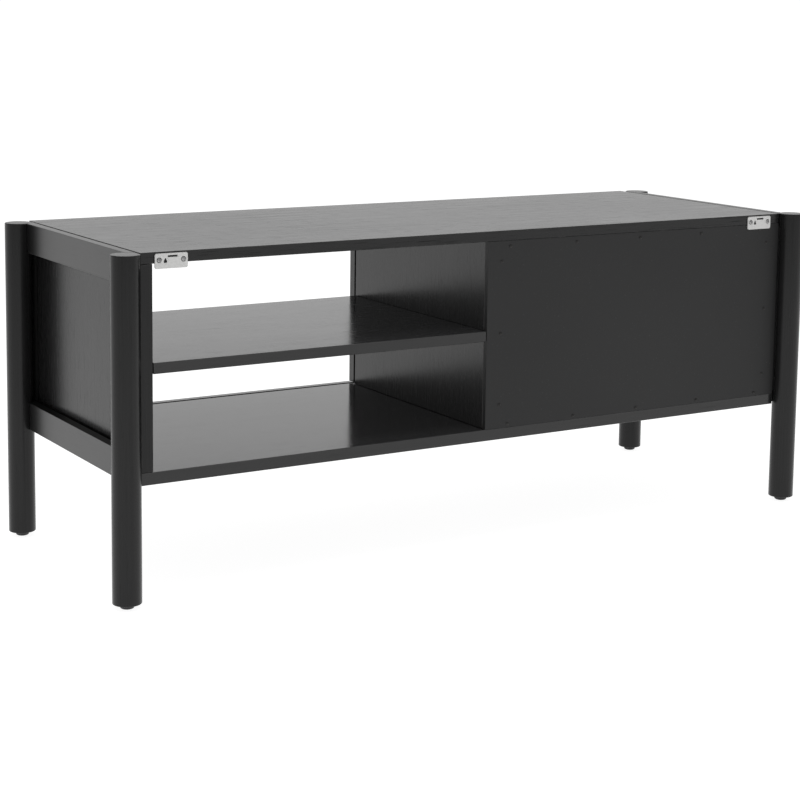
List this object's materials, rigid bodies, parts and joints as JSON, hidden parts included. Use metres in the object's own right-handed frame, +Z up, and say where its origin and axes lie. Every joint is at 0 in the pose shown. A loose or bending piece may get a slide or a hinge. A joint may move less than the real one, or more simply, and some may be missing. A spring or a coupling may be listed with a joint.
{
  "type": "media cabinet",
  "caption": "Low black wood media cabinet on two round-legged ladder end frames, with a closed bay, an open bay with a shelf, and one door that slides between them.",
  "frame": {"origin": "on the floor at the centre of the footprint of the four legs", "axes": "+Z up, +X along the length (towards the open bay), the front with the sliding door faces -Y"},
  "size_m": [1.264, 0.463, 0.5],
  "materials": {
    "black_wood": "black-stained open-grain oak veneer, satin",
    "black_wood_solid": "black-stained solid oak, satin",
    "cleat_wood": "stained softwood, matte",
    "black_plastic": "moulded, matte",
    "nylon": "moulded nylon, satin",
    "rubber": "matte",
    "zinc_steel": "zinc-plated steel",
    "white_steel": "white-passivated steel plate",
    "black_steel": "black powder coat, satin"
  },
  "bodies": {
    "root": {"back_cleat_bottom": "cleat_wood", "back_cleat_divider": "cleat_wood", "back_cleat_side": "cleat_wood", "back_cleat_top": "cleat_wood", "back_panel": "black_wood", "bottom_panel": "black_wood", "bottom_rail_left": "black_wood_solid", "bottom_rail_right": "black_wood_solid", "bottom_track": "black_plastic", "centre_divider": "black_wood", "closed_bay_shelf": "black_wood", "door_bumper_left": "rubber", "door_bumper_right": "rubber", "frame_bolt_bottom_back_left": "black_steel", "frame_bolt_bottom_back_right": "black_steel", "frame_bolt_bottom_front_left": "black_steel", "frame_bolt_bottom_front_right": "black_steel", "frame_bolt_top_back_left": "black_steel", "frame_bolt_top_back_right": "black_steel", "frame_bolt_top_front_left": "black_steel", "frame_bolt_top_front_right": "black_steel", "frame_spacer_left": "black_plastic", "frame_spacer_right": "black_plastic", "leg_back_left": "black_wood_solid", "leg_back_right": "black_wood_solid", "leg_front_left": "black_wood_solid", "leg_front_right": "black_wood_solid", "leg_insert_back_left": "zinc_steel", "leg_insert_back_right": "zinc_steel", "leg_insert_front_left": "zinc_steel", "leg_insert_front_right": "zinc_steel", "open_bay_shelf": "black_wood", "shelf_pin_closed_bay_left_back": "zinc_steel", "shelf_pin_closed_bay_left_front": "zinc_steel", "shelf_pin_closed_bay_right_back": "zinc_steel", "shelf_pin_closed_bay_right_front": "zinc_steel", "shelf_pin_open_bay_left_back": "zinc_steel", "shelf_pin_open_bay_left_front": "zinc_steel", "shelf_pin_open_bay_right_back": "zinc_steel", "shelf_pin_open_bay_right_front": "zinc_steel", "side_panel_left": "black_wood", "side_panel_right": "black_wood", "top_panel": "black_wood", "top_rail_left": "black_wood_solid", "top_rail_right": "black_wood_solid", "top_track": "black_plastic", "wall_bracket_left": "white_steel", "wall_bracket_right": "white_steel"},
    "door": {"door_glide_left": "nylon", "door_glide_right": "nylon", "door_pull_left": "black_steel", "door_pull_right": "black_steel", "door_top_guide": "nylon", "sliding_door": "black_wood"},
    "foot_back_left": {"foot_back_left": "black_plastic"},
    "foot_back_right": {"foot_back_right": "black_plastic"},
    "foot_front_left": {"foot_front_left": "black_plastic"},
    "foot_front_right": {"foot_front_right": "black_plastic"}
  },
  "joints": [
    {"name": "door_slide", "type": "slide", "parent": "root", "child": "door", "axis": [1, 0, 0], "range_m": [0, 0.557]},
    {"name": "foot_back_left_adjust", "type": "slide", "parent": "root", "child": "foot_back_left", "axis": [0, 0, -1], "range_m": [0, 0.01]},
    {"name": "foot_back_right_adjust", "type": "slide", "parent": "root", "child": "foot_back_right", "axis": [0, 0, -1], "range_m": [0, 0.01]},
    {"name": "foot_front_left_adjust", "type": "slide", "parent": "root", "child": "foot_front_left", "axis": [0, 0, -1], "range_m": [0, 0.01]},
    {"name": "foot_front_right_adjust", "type": "slide", "parent": "root", "child": "foot_front_right", "axis": [0, 0, -1], "range_m": [0, 0.01]}
  ]
}
